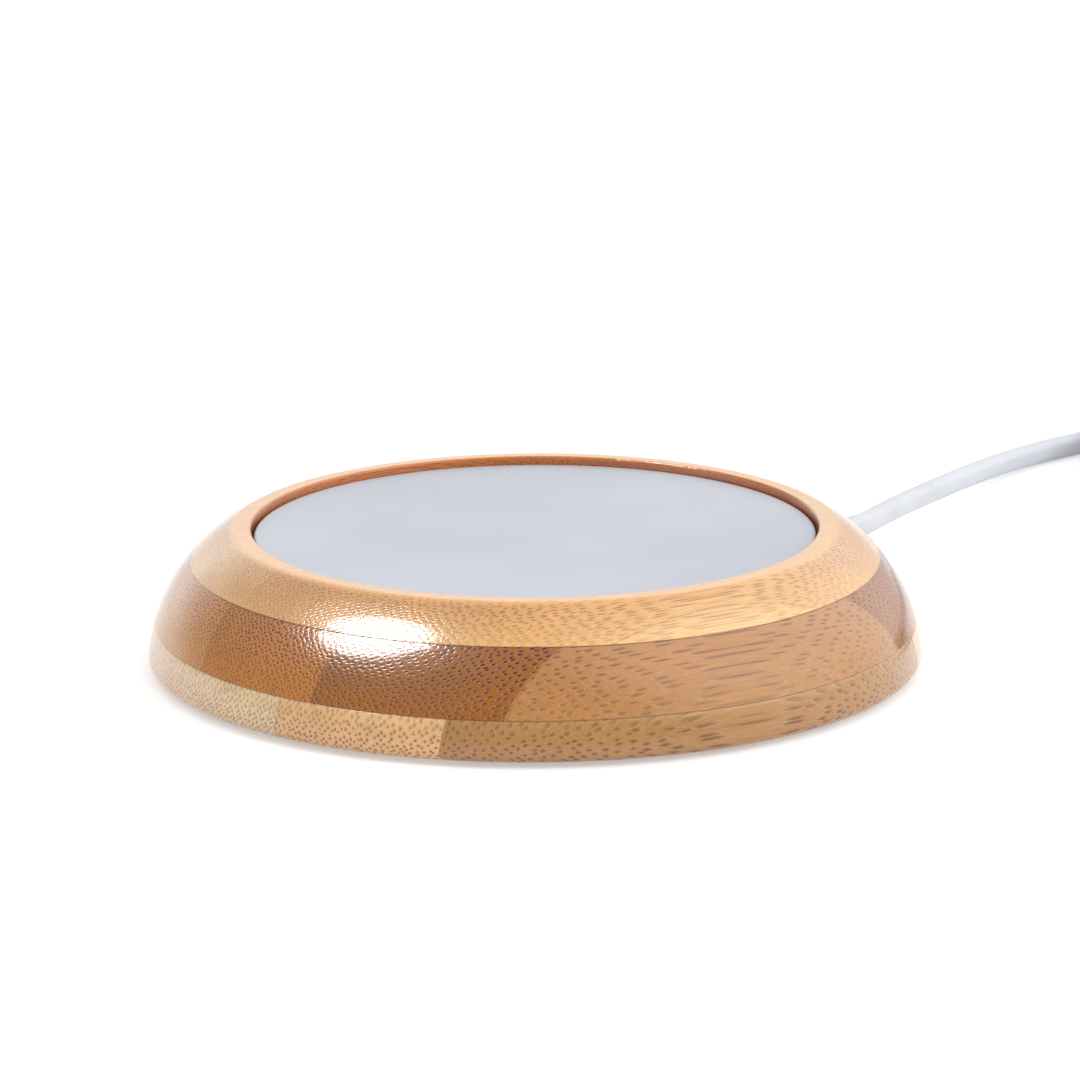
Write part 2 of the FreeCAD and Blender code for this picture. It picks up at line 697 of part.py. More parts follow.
def least_gap():
    """The least clear distance between two stretches of the coil that are over a third of a turn apart."""
    per_turn = 60
    count = int(COIL_TURNS * per_turn)
    points = [coil_point(k / per_turn) for k in range(count + 1)]
    least = COIL_OUTER_R
    for i, p in enumerate(points):
        for q in points[i + per_turn // 3 :]:
            least = min(least, p.distanceToPoint(q))
    return least - 2 * CORD_R


def run_points():
    """The whole route from the strain relief to the coil, its last run square to the coil's end."""
    entry = coil_ends()[0]
    approach = entry - coil_way(0) * COIL_APPROACH
    return list(RUN_ROUTE) + [tuple(approach), tuple(entry)]


def tail_points():
    """The whole route from the coil to the plug, its first run square to the coil's end."""
    leave = coil_ends()[1]
    on = leave + coil_way(COIL_TURNS) * COIL_APPROACH
    return [tuple(leave), tuple(on)] + list(TAIL_ROUTE)


def plug_overmould():
    """The plug's moulded grip: a rounded block with finger grooves, and a grooved neck round the lead."""
    x, end_y, z = TAIL_ROUTE[-1]
    body_y = end_y - PLUG_NECK_L
    width, depth, height = PLUG_BODY
    body = Part.makeBox(width, depth, height, V(x - width / 2, body_y - depth, z - height / 2))
    body = body.makeFillet(PLUG_BODY_R, [e for e in body.Edges if e.BoundBox.YLength > depth / 2])
    ends = [e for e in body.Edges if e.BoundBox.YLength < 0.01 and e.Length > 0.5]
    body = body.makeFillet(PLUG_BODY_END_R, ends)
    grooves = []
    for k in range(GRIP_COUNT):
        groove_y = body_y - depth / 2 + GRIP_STEP * (k - (GRIP_COUNT - 1) / 2)
        for side in (-1, 1):
            base = V(x + side * (width / 2 + GRIP_R * 0.3), groove_y, z - height)
            grooves.append(Part.makeCylinder(GRIP_R, height * 2, base))
    thin, thick = PLUG_NECK_R
    collars = [(0, -1.0), (thick, -1.0), (thick, 1.2), (thick - 0.7, 1.4), (thick - 0.7, 2.2)]
    collars += [(thick - 0.2, 2.4), (thick - 0.4, 3.6), (thick - 0.9, 3.8), (thick - 0.9, 4.6)]
    collars += [(thick - 0.6, 4.8), (thin, PLUG_NECK_L), (0, PLUG_NECK_L)]
    points = [V(r, y, 0) for r, y in collars]
    neck = turned(lines(points + points[:1]), ALONG_Y)
    neck.translate(V(x, body_y, z))
    return body.cut(grooves).fuse(neck).removeSplitter()


def plug_front():
    """Where the metal shell leaves the grip: its x, y and z."""
    x, end_y, z = TAIL_ROUTE[-1]
    return x, end_y - PLUG_NECK_L - PLUG_BODY[1], z


def plug_shell():
    """The folded metal shell: a thin open box with two latch windows on each broad side."""
    x, y, z = plug_front()
    width, depth, height = SHELL_SIZE
    shell = Part.makeBox(width, depth, height, V(x - width / 2, y - depth, z - height / 2))
    shell = shell.makeFillet(0.5, [e for e in shell.Edges if e.BoundBox.YLength > depth / 2])
    wall = SHELL_WALL
    inner_corner = V(x - width / 2 + wall, y - depth - 1, z - height / 2 + wall)
    hollow = Part.makeBox(width - 2 * wall, depth, height - 2 * wall, inner_corner)
    windows = []
    for side in (-1, 1):
        centre = (x + side * SHELL_WINDOW_X, y - depth + SHELL_WINDOW_Y)
        windows.append(slab((SHELL_WINDOW[0], SHELL_WINDOW[1], height * 2), centre, z - height))
    return shell.cut([hollow] + windows)


def plug_tongue():
    """The plastic tongue inside the shell, which carries the contacts."""
    x, y, z = plug_front()
    width, depth, height = SHELL_SIZE
    inner = width - 2 * SHELL_WALL - 0.1
    low = z - height / 2 + SHELL_WALL + 0.05
    return Part.makeBox(inner, depth - 2.0, TONGUE_T, V(x - inner / 2, y - depth + 1.0, low))


def plug_contacts():
    """Four flat contacts on the tongue."""
    x, y, z = plug_front()
    low = z - SHELL_SIZE[2] / 2 + SHELL_WALL + 0.05 + TONGUE_T
    mid_y = y - SHELL_SIZE[1] + 1.4 + CONTACT_SIZE[1] / 2
    return group([slab(CONTACT_SIZE, (x + dx, mid_y), low) for dx in CONTACT_XS])


bamboo_plies()
save("heating_plate", heating_plate())
save("plate_seal", washer(SEAL_R0, SEAL_R1, LEDGE_TOP, PLATE_Z0))
save("heater_film", disc(FILM_R, FILM_Z0, PLATE_Z0))
save("heater_trace", heater_trace())
save("insulation_pad", insulation_pad())
save("retainer_plate", retainer_plate())
ear_seat = LEDGE_BOTTOM - PAN_T
ear_screw_l = RETAINER_SHANK_L + PAN_T
ear_places = [at_angle(EAR_AT_R, a) for a in EAR_ANGLES]
save("retainer_screws", group([pan_head_screw(at, ear_seat, ear_screw_l) for at in ear_places]))
save("thermal_cutout", thermal_cutout())
save("cutout_clip", cutout_clip())
save("heater_leads", heater_leads())
save("splice_sleeves", splice_sleeves())
save("lead_cores", lead_cores())
save("inner_lead", inner_lead())
save("lead_clamp", lead_clamp())
save("clamp_screws", clamp_screws())
save("strain_relief", strain_relief())
save("bottom_cover", bottom_cover())
save("cover_screws", group([cover_screw(at_angle(COVER_SCREW_AT_R, a)) for a in COVER_SCREW_ANGLES]))
save("feet", feet())
save("cord_run", tube_along("cord_run", run_points(), CORD_R))
save("cord_coil", cord_coil())
save("cord_tail", tube_along("cord_tail", tail_points(), CORD_R))
save("plug_overmould", plug_overmould())
save("plug_shell", plug_shell())
save("plug_tongue", plug_tongue())
save("plug_contacts", plug_contacts())
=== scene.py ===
# %% [markdown]
# # A bamboo mug warmer, dressed for its portrait
# The object is a small electric coaster: a ring of laminated bamboo, turned on a lathe and lacquered, with a
# round aluminium plate sunk into its top and a white low-voltage lead. The construction is already fixed at
# its real size, so this lesson only adds the finish. We load the frame first.

# %% Load the frame
import math

import bpy
from mathutils import Matrix, Vector


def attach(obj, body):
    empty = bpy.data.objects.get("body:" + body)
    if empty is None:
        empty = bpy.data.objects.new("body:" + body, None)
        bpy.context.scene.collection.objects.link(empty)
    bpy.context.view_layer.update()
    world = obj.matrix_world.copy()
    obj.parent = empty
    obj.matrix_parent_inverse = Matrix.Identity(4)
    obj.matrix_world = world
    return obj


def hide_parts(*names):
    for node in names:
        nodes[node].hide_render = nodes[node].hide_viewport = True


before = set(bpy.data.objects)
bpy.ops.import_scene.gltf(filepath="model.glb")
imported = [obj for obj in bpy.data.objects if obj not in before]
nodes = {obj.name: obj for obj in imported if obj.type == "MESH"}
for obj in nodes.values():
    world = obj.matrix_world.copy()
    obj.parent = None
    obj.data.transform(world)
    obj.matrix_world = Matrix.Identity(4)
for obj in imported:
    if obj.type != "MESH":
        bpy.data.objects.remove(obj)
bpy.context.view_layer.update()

# %% [markdown]
# ## Units and two small helpers
# The sizes below are in millimetres, as a maker reads them, and `mm` turns them to metres. Colours are
# picked as sRGB hex, as on a screen, but the renderer works with linear light, so one function converts
# them.

# %% Units and colours
SEGMENTS = 256
SMOOTH_DEG = 35.0


def mm(value):
    """Millimetres to metres."""
    return value / 1000


def linear(hex_colour):
    """An sRGB hex colour as linear RGBA."""
    channels = [int(hex_colour[i : i + 2], 16) / 255 for i in (0, 2, 4)]
    return [c / 12.92 if c <= 0.04045 else ((c + 0.055) / 1.055) ** 2.4 for c in channels] + [1.0]


print("linear value of mid grey:", round(linear("808080")[0], 3))

# %% [markdown]
# ## The camera
# The photograph was taken with a long lens from about a metre away, 14 degrees above the table, so the
# ring looks nearly like a side view with little perspective. The camera's place was worked out from the
# ring's outline, and its small roll from the tilt of the ellipse.

# %% Camera
CAMERA_AT = (663.95, -662.93, 259.84)
CAMERA_AIM = (0.51, 0.51, 17.91)
CAMERA_LENS = 227.53
CAMERA_ROLL = 0.0046

eye = Vector([mm(v) for v in CAMERA_AT])
aim = Vector([mm(v) for v in CAMERA_AIM])
camera_data = bpy.data.cameras.new("camera")
camera_data.lens = CAMERA_LENS
camera_data.sensor_width = 36.0
camera_data.clip_start = 0.05
camera = bpy.data.objects.new("camera", camera_data)
bpy.context.scene.collection.objects.link(camera)
look = (aim - eye).to_track_quat("-Z", "Y").to_matrix().to_4x4()
camera.matrix_world = Matrix.Translation(eye) @ look @ Matrix.Rotation(-CAMERA_ROLL, 4, "Z")
bpy.context.scene.camera = camera
bpy.context.scene.view_settings.view_transform = "Standard"
print("camera", round((eye - aim).length, 3), "m from its aim")

# %% [markdown]
# ## The lead
# The lead is a round, soft, white PVC cable, 3.4 mm thick. It leaves a grommet at the back, droops to the
# table and runs out of the picture. Its spare length is wound in two layers, as it would be put away. A
# smooth spline through a few given points looks like a real cable, and a loop works out the coil's turns.

# %% Lead
LEAD_R = 1.7
RUN_ROUTE = (
    (0.0, 56.0, 7.8),
    (0.0, 62.0, 7.8),
    (-0.9, 67.5, 7.1),
    (-3.4, 73.4, 6.2),
    (-6.7, 80.3, 5.65),
    (-10.7, 89.7, 4.95),
    (-14.4, 99.5, 4.25),
    (-17.9, 109.0, 3.6),
    (-21.0, 118.0, 3.0),
    (-23.3, 126.1, 2.5),
    (-25.0, 133.9, 2.1),
    (-25.9, 140.6, 1.85),
    (-26.0, 147.0, 1.7),
    (-25.2, 155.4, 1.7),
)
COIL_CENTRE = (4.4, 158.8)
COIL_START_DEG = 164.0
COIL_OUTER_R = 27.3
COIL_PITCH = 3.9
COIL_LAYER_TURNS = 3.45
COIL_CLIMB_TURNS = 0.5
COIL_LAYER_STEP = 4.0
COIL_STEPS_PER_TURN = 24
TAIL_ROUTE = (
    (36.9, 149.8, 4.9),
    (39.8, 142.0, 4.2),
    (41.0, 134.5, 4.0),
    (41.0, 128.0, 4.0),
)


def coil_point(turn):
    """The coil's centre line after so many turns, in mm: in below, up a layer, then out on top."""
    angle = math.radians(COIL_START_DEG) - 2 * math.pi * turn
    past = turn - COIL_LAYER_TURNS
    inner_r = COIL_OUTER_R - COIL_PITCH * COIL_LAYER_TURNS
    share = min(max(past / COIL_CLIMB_TURNS, 0), 1)
    if past <= 0:
        radius = COIL_OUTER_R - COIL_PITCH * turn
    elif share < 1:
        radius = inner_r - COIL_PITCH * past * (1 - share)
    else:
        radius = inner_r + COIL_PITCH * (past - COIL_CLIMB_TURNS)
    height = LEAD_R + COIL_LAYER_STEP * share * share * (3 - 2 * share)
    # A spline of order 3 runs a little inside its control points, so they stand that much further out.
    radius /= 0.75 + 0.25 * math.cos(2 * math.pi / COIL_STEPS_PER_TURN)
    return (COIL_CENTRE[0] + radius * math.cos(angle), COIL_CENTRE[1] + radius * math.sin(angle), height)


coil_turns = 2 * COIL_LAYER_TURNS + COIL_CLIMB_TURNS
coil_steps = round(coil_turns * COIL_STEPS_PER_TURN)
coil_points = [coil_point(coil_turns * k / coil_steps) for k in range(coil_steps + 1)]
lead_points = list(RUN_ROUTE) + coil_points + list(TAIL_ROUTE)

# The curve's bevel is one metre, and each point's radius scales it down, so the curve's box is right too.
lead_curve = bpy.data.curves.new("lead", "CURVE")
lead_curve.dimensions = "3D"
lead_curve.bevel_depth = 1.0
lead_curve.bevel_resolution = 6
lead_curve.resolution_u = 6
lead_curve.use_fill_caps = True
spline = lead_curve.splines.new("NURBS")
spline.points.add(len(lead_points) - 1)
for point, place in zip(spline.points, lead_points):
    point.co = [mm(v) for v in place] + [1.0]
    point.radius = mm(LEAD_R)
spline.order_u = 3
spline.use_endpoint_u = True
spline.use_smooth = True
lead = bpy.data.objects.new("lead", lead_curve)
bpy.context.scene.collection.objects.link(lead)
lead_length = spline.calc_length()
print("lead:", len(lead_points), "points,", round(lead_length, 3), "m long")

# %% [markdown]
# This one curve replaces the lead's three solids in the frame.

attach(lead, "root")
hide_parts("cord_run", "cord_coil", "cord_tail")

# %% [markdown]
# ## Turned pieces
# A lathe makes the ring, so we build it as a lathe would describe it: one outline, swept round the axis.
# The outline is walked point by point. A circle is added at the first point, then extruded, moved and
# scaled to each next one, and last bridged back to the first. This gives clean quads that shade smoothly.

# %% A helper for turned pieces


def select_nothing():
    """Deselect every object, and leave edit mode if it is on."""
    if bpy.context.mode != "OBJECT":
        bpy.ops.object.mode_set(mode="OBJECT")
    bpy.ops.object.select_all(action="DESELECT")


def place_in_mesh(piece):
    """Put the object at the origin, unturned and unscaled, with its place in its mesh."""
    select_nothing()
    piece.select_set(True)
    bpy.context.view_layer.objects.active = piece
    bpy.ops.object.transform_apply(location=True, rotation=True, scale=True)


def turn_piece(name, outline, closed=True):
    """A piece turned round Z from (radius, height) points in mm. Open outlines get flat caps."""
    select_nothing()
    first_r, first_z = outline[0]
    bpy.ops.mesh.primitive_circle_add(vertices=SEGMENTS, radius=mm(first_r), location=(0, 0, mm(first_z)))
    piece = bpy.context.active_object
    piece.name = name
    bpy.ops.object.mode_set(mode="EDIT")
    bpy.ops.mesh.select_mode(type="EDGE")
    bpy.ops.mesh.select_all(action="SELECT")
    for (r0, z0), (r1, z1) in zip(outline, outline[1:]):
        bpy.ops.mesh.extrude_region_move(TRANSFORM_OT_translate={"value": (0, 0, mm(z1 - z0))})
        bpy.ops.transform.resize(value=(r1 / r0, r1 / r0, 1), center_override=(0, 0, mm(z1)))
    if closed:
        bpy.ops.mesh.select_non_manifold()
        bpy.ops.mesh.bridge_edge_loops()
    else:
        bpy.ops.mesh.select_non_manifold()
        bpy.ops.mesh.edge_face_add()
    bpy.ops.mesh.select_all(action="SELECT")
    bpy.ops.mesh.normals_make_consistent(inside=False)
    bpy.ops.object.mode_set(mode="OBJECT")
    place_in_mesh(piece)
    piece.data.name = name
    bpy.ops.object.shade_smooth_by_angle(angle=math.radians(SMOOTH_DEG))
    print(name, len(piece.data.vertices), "points")
    return piece


def arc(centre, radius, start, end, steps):
    """Points on an arc of an outline, by angles in radians."""
    angles = [start + (end - start) * k / steps for k in range(steps + 1)]
    return [(centre[0] + radius * math.cos(a), centre[1] + radius * math.sin(a)) for a in angles]


# %% [markdown]
# ## The bamboo ring
# The casing is glued up from three plies and turned to a soft dome. We make each ply on its own, as the
# eye finds the two glue lines at once: each joint edge gets a tiny chamfer, which catches a hairline of
# shade.

# %% Bamboo plies
RING_R = 55.0
RING_LOW = 0.8
RING_TOP = 20.3
DOME_ARC_R = 22.7
BOTTOM_FILLET_R = 1.2
DOME_START = 0.09
CROWN_R = 3.5
RECESS_R = 40.25
LIP_R = 0.35
JOINTS = (6.6, 15.55)
LEDGE_R = 36.5
LEDGE_TOP = 16.85
LEDGE_LOW = 13.3
CAVITY_R = 43.0
REBATE_R = 48.0
REBATE_Z = 2.8
JOINT_CHAMFER = 0.07

fillet_at = (RING_R - BOTTOM_FILLET_R, RING_LOW + BOTTOM_FILLET_R)
dome_at = tuple(
    c - (DOME_ARC_R - BOTTOM_FILLET_R) * w
    for c, w in zip(fillet_at, (math.cos(DOME_START), math.sin(DOME_START)))
)


def dome(low, high, steps):
    """The dome's outline between two heights."""
    low_angle = math.asin((low - dome_at[1]) / DOME_ARC_R)
    high_angle = math.asin((high - dome_at[1]) / DOME_ARC_R)
    return arc(dome_at, DOME_ARC_R, low_angle, high_angle, steps)


def chamfered(outline, at_start, at_end):
    """The outline with its first or last point drawn in by the joint's chamfer."""
    points = list(outline)
    if at_start:
        points.insert(0, (points[0][0] - JOINT_CHAMFER, points[0][1]))
        points[1] = (points[1][0], points[1][1] + JOINT_CHAMFER)
    if at_end:
        points.append((points[-1][0] - JOINT_CHAMFER, points[-1][1]))
        points[-2] = (points[-2][0], points[-2][1] - JOINT_CHAMFER)
    return points


low_joint, high_joint = JOINTS
dome_low = fillet_at[1] + BOTTOM_FILLET_R * math.sin(DOME_START)
bottom_edge = arc(fillet_at, BOTTOM_FILLET_R, -math.pi / 2, DOME_START, 8)
bottom_outline = bottom_edge[:-1] + chamfered(dome(dome_low, low_joint, 8), False, True)
bottom_outline += [(CAVITY_R, low_joint), (CAVITY_R, REBATE_Z), (REBATE_R, REBATE_Z), (REBATE_R, RING_LOW)]
bottom_ply = turn_piece("bottom_ply", bottom_outline)

middle_outline = chamfered(dome(low_joint, high_joint, 18), True, True)
middle_outline += [(LEDGE_R, high_joint), (LEDGE_R, LEDGE_LOW), (CAVITY_R, LEDGE_LOW), (CAVITY_R, low_joint)]
middle_ply = turn_piece("middle_ply", middle_outline)

lip_at = (RECESS_R + LIP_R, RING_TOP - LIP_R)
shoulder_angle = math.asin((RING_TOP - CROWN_R - dome_at[1]) / (DOME_ARC_R - CROWN_R))
shoulder_z = dome_at[1] + DOME_ARC_R * math.sin(shoulder_angle)
crown_at = tuple(
    c + (DOME_ARC_R - CROWN_R) * w
    for c, w in zip(dome_at, (math.cos(shoulder_angle), math.sin(shoulder_angle)))
)
top_outline = chamfered(dome(high_joint, shoulder_z, 14), True, False)
top_outline += arc(crown_at, CROWN_R, shoulder_angle, math.pi / 2, 8)[1:]
top_outline += arc(lip_at, LIP_R, math.pi / 2, math.pi, 6)
top_outline += [(RECESS_R, LEDGE_TOP), (LEDGE_R, LEDGE_TOP), (LEDGE_R, high_joint)]
top_ply = turn_piece("top_ply", top_outline)

# %% [markdown]
# The lead's bore goes through the wall where two plies meet, so a plain cylinder is cut from both.

# %% Bore for the lead
EXIT_Z = 7.8
BORE_R = 3.1
BORE_MIDDLE_Y = 49.0
BORE_LENGTH = 22.0
BORE_SIDES = 64


def cut_bore(piece):
    """Cut the lead's bore through the back of a ply."""
    select_nothing()
    at = (0, mm(BORE_MIDDLE_Y), mm(EXIT_Z))
    lying = (math.pi / 2, 0, 0)
    bpy.ops.mesh.primitive_cylinder_add(
        vertices=BORE_SIDES, radius=mm(BORE_R), depth=mm(BORE_LENGTH), location=at, rotation=lying
    )
    drill = bpy.context.active_object
    select_nothing()
    bpy.context.view_layer.objects.active = piece
    bore = piece.modifiers.new("bore", "BOOLEAN")
    bore.operation = "DIFFERENCE"
    bore.solver = "EXACT"
    bore.object = drill
    bpy.ops.object.modifier_apply(modifier=bore.name)
    bpy.data.objects.remove(drill)
    print(piece.name, "bored:", len(piece.data.polygons), "faces")


cut_bore(bottom_ply)
cut_bore(middle_ply)

# %% [markdown]
# ## The heating plate and its seal
# The plate is a disc of aluminium with its edge just broken, so the edge catches one thin line of light.

# %% Heating plate
PLATE_R = 39.9
PLATE_TOP = 19.15
PLATE_LOW = 17.35
PLATE_EDGE_R = 0.4
LOW_BEVEL = 0.2
SEAL_R0 = 36.7
SEAL_R1 = 40.0
SEAL_LIP_Z = 17.15

edge_at = (PLATE_R - PLATE_EDGE_R, PLATE_TOP - PLATE_EDGE_R)
plate_outline = [(PLATE_R - LOW_BEVEL, PLATE_LOW), (PLATE_R, PLATE_LOW + LOW_BEVEL)]
plate_outline += arc(edge_at, PLATE_EDGE_R, 0, math.pi / 2, 8)
plate = turn_piece("plate", plate_outline, closed=False)

seal_outline = [(SEAL_R0, LEDGE_TOP), (SEAL_R1, LEDGE_TOP), (SEAL_R1, SEAL_LIP_Z)]
seal_outline += [(SEAL_R1 - LOW_BEVEL, PLATE_LOW), (SEAL_R0, PLATE_LOW)]
seal = turn_piece("seal", seal_outline)

# %% [markdown]
# ## Ride and replace
# Nothing on this object moves, so every piece rides on the one body, and stands for its own node.

# %% Ride on the frame
for piece, node, slot in (
    (bottom_ply, "bamboo_bottom_ply", "bamboo"),
    (middle_ply, "bamboo_middle_ply", "bamboo"),
    (top_ply, "bamboo_top_ply", "bamboo"),
    (plate, "heating_plate", "aluminium_plate"),
    (seal, "plate_seal", "silicone_seal"),
):
    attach(piece, "root")
    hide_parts(node)
    print(piece.name, "stands for", node)

# %% [markdown]
# ## A helper for shader nodes
# Each finish is a small graph of nodes. One function adds a node, sets its values and links its inputs. A
# plain value goes to the next socket, and a dict names its sockets. A node given as a value means its
# first output.

# %% Node helper


def add_node(graph, kind, *values, **settings):
    """Add a node. Settings are its own options, and values go to its sockets, as numbers or as links."""
    node = graph.nodes.new("ShaderNode" + kind)
    for key, value in settings.items():
        setattr(node, key, value)
    inputs = {}
    for k, value in enumerate(values):
        inputs.update(value if isinstance(value, dict) else {k: value})
    for key, value in inputs.items():
        value = value.outputs[0] if isinstance(value, bpy.types.Node) else value
        if isinstance(value, bpy.types.NodeSocket):
            graph.links.new(value, node.inputs[key])
        else:
            node.inputs[key].default_value = value
    return node


def new_material(name):
    """A material with an empty graph and one Principled shader. Returns the material and the shader."""
    material = bpy.data.materials.new(name)
    material.use_nodes = True
    graph = material.node_tree
    graph.nodes.clear()
    shader = add_node(graph, "BsdfPrincipled")
    add_node(graph, "OutputMaterial", {"Surface": shader})
    return material, shader


def wire(graph, shader, **inputs):
    """Give nodes or outputs to the shader's sockets, by the sockets' names with underscores."""
    for key, value in inputs.items():
        output = value.outputs[0] if isinstance(value, bpy.types.Node) else value
        graph.links.new(output, shader.inputs[key.replace("_", " ")])


# %% [markdown]
# ## Lacquered bamboo
# Bamboo isn't wood but a grass. Its strength is in thin dark bundles of fibre that run along the stalk,
# packed closer towards the outside. Cut across, they show as dots, and cut along, as streaks. So the
# pattern is solid: it is worked out in three dimensions from two coordinates across the fibre, and the
# turned shape cuts it the way the lathe did. Each ply is glued from strips 22 mm wide, each with a shade
# and a spacing of its own, and each strip's outer side is darker. Over it lies a clear gloss lacquer,
# which follows the pores a little.

# %% Bamboo
FIBRE_DEG = 77.6
STRIP_W = 22.2
PATTERN_SPAN = 60.0
LATTICE_DEG = 38.0
SPACING_UNIT = 2.0
LACQUER_ROUGHNESS = 0.11
LACQUER_IOR = 1.52
# How fast each noise changes along the fibre, across it and up, per millimetre.
SWAY_NOISE = (0.03, 0.12, 0.12)
FINE_NOISE = (0.12, 5.0, 5.0)
BROAD_NOISE = (0.02, 0.16, 0.22)
# Millimetres by which the fibre sways across and up, and the irregularity of the bundles' lattice.
SWAY_ACROSS = 1.6
SWAY_UP = 1.2
LATTICE_JITTER = 0.55
# A bundle's radius in millimetres, what its own chance and the stalk's outside add, and its sheath's width.
BUNDLE_R = 0.12
BUNDLE_R_BY_CHANCE = 0.06
BUNDLE_R_OUTSIDE = 0.06
SHEATH_W = 0.16
# Relief of the pores under the lacquer, and of the lacquer itself, in millimetres.
PORE_RELIEF = 0.08
LACQUER_RELIEF = 0.022
NO_FADE = (90.0, 91.0)

# The settings of the nodes that the pattern is worked out with.
TIMES = {"operation": "MULTIPLY"}
PLUS = {"operation": "ADD"}
MINUS = {"operation": "SUBTRACT"}
OVER = {"operation": "DIVIDE"}
LARGER = {"operation": "MAXIMUM"}
TIMES_PLUS = {"operation": "MULTIPLY_ADD"}
SOFT = {"interpolation_type": "SMOOTHSTEP"}
MIXED = {"data_type": "RGBA", "blend_type": "MIX"}
DARKENED = {"data_type": "RGBA", "blend_type": "MULTIPLY"}


def ramp_of(graph, factor, stops, constant=True):
    """A colour ramp from stops: a position, and a hex colour, three numbers or one."""
    ramp = add_node(graph, "ValToRGB", factor)
    elements = ramp.color_ramp.elements
    ramp.color_ramp.interpolation = "CONSTANT" if constant else "LINEAR"
    while len(elements) > 1:
        elements.remove(elements[-1])
    for k, (position, colour) in enumerate(stops):
        element = elements[0] if k == 0 else elements.new(position)
        element.position = position
        if isinstance(colour, str):
            element.color = linear(colour)
        elif isinstance(colour, tuple):
            element.color = (*colour, 1.0)
        else:
            element.color = (colour, colour, colour, 1.0)
    return ramp.outputs["Color"]


def strip_stops(first_joint, values):
    """Ramp stops for strips that start at a joint and repeat across the ring, from front to back."""
    stops = [(0.0, values[0])]
    for k, value in enumerate(values[1:]):
        stops.append(((first_joint + STRIP_W * k + PATTERN_SPAN) / (2 * PATTERN_SPAN), value))
    return stops


def fibre_noise(graph, in_mm, rates, detail):
    """Noise that is stretched along the fibre."""
    at = add_node(graph, "VectorMath", in_mm, rates, **TIMES)
    return add_node(graph, "TexNoise", {"Vector": at, "Scale": 1.0, "Detail": detail})


# %% [markdown]
# The pattern needs to know where a point is on the stalk. The mesh's own coordinates are turned so that X
# runs along the fibre, and the same turn of the normal tells how squarely the lathe cut across it.

# %% Places in the stalk


def stalk_places(graph):
    """The point in mm, its places along, across and up, and how squarely the fibre is cut there."""
    turn = (0, 0, -math.radians(FIBRE_DEG))
    coordinates = add_node(graph, "TexCoord").outputs
    turned = add_node(graph, "Mapping", {"Vector": coordinates["Object"], "Rotation": turn})
    facing = add_node(
        graph, "Mapping", {"Vector": coordinates["Normal"], "Rotation": turn}, vector_type="NORMAL"
    )
    in_mm = add_node(graph, "VectorMath", turned, (1000.0, 1000.0, 1000.0), **TIMES)
    along, across, height = add_node(graph, "SeparateXYZ", in_mm).outputs
    into_cut = add_node(graph, "SeparateXYZ", facing).outputs[0]
    end_grain = add_node(graph, "Math", into_cut, operation="ABSOLUTE")
    return in_mm, along, across, height, end_grain


def strip_traits(graph, across, first_joint, shades, spacings, contrasts):
    """Each strip's shade, spacing in mm and contrast, by its place across the fibre."""
    moved = add_node(graph, "Math", across, PATTERN_SPAN, **PLUS)
    place = add_node(graph, "Math", moved, 2 * PATTERN_SPAN, **OVER)
    shade = ramp_of(graph, place, strip_stops(first_joint, shades))
    traits = [(wide / SPACING_UNIT, contrast, 0.0) for wide, contrast in zip(spacings, contrasts)]
    traits = ramp_of(graph, place, strip_stops(first_joint, traits))
    spacing, contrast, _ = add_node(graph, "SeparateColor", traits).outputs
    return shade, add_node(graph, "Math", spacing, SPACING_UNIT, **TIMES), contrast


# %% [markdown]
# Bundles stand in a loose lattice, and come closer towards the stalk's outside. Near the outside a bundle is
# a dark spot in a brown sheath, and further in it is a thin crescent. A flat texture of cells gives the
# lattice: the distance to the nearest point draws the spot, and the direction to it tells the crescent's
# side. The other side of each sheath gets a painted highlight, a pale fleck.

# %% Fibre bundles
# The rows' closeness on the stalk's inside, and what its outside adds.
ROWS_INSIDE = 0.92
ROWS_OUTSIDE = 0.30
# What each millimetre of spacing adds to a bundle's size, and the size without it.
SIZE_BY_SPACING = (0.8, 0.3)
# A core's soft edge, in the bundle's radii: where it starts, and where it is full.
CORE_LOW_EDGE = 1.15
CORE_HIGH_EDGE = 0.75
# What the stalk's outside adds to the strength of cores and of sheaths, and their strength on the inside.
CORE_SHARE = (0.45, 0.55)
SHEATH_SHARE = (0.25, 0.20)
CRESCENT_SHARE = 0.45
# The crescent fades between these distances from the bundle's middle, in millimetres, and towards one side.
CRESCENT_OUTSIDE = (0.32, 0.24)
CRESCENT_INSIDE = (0.20, 0.12)
CRESCENT_SIDE = (0.08, -0.10)
# Where the painted highlight on each sheath's other side fades in.
BUNDLE_HIGHLIGHT_SIDE = (0.02, 0.16)
# From where to where in a stalk's wall, from the inside out, crescents give way to spots.
SPOT_SHARE = (0.05, 0.75)


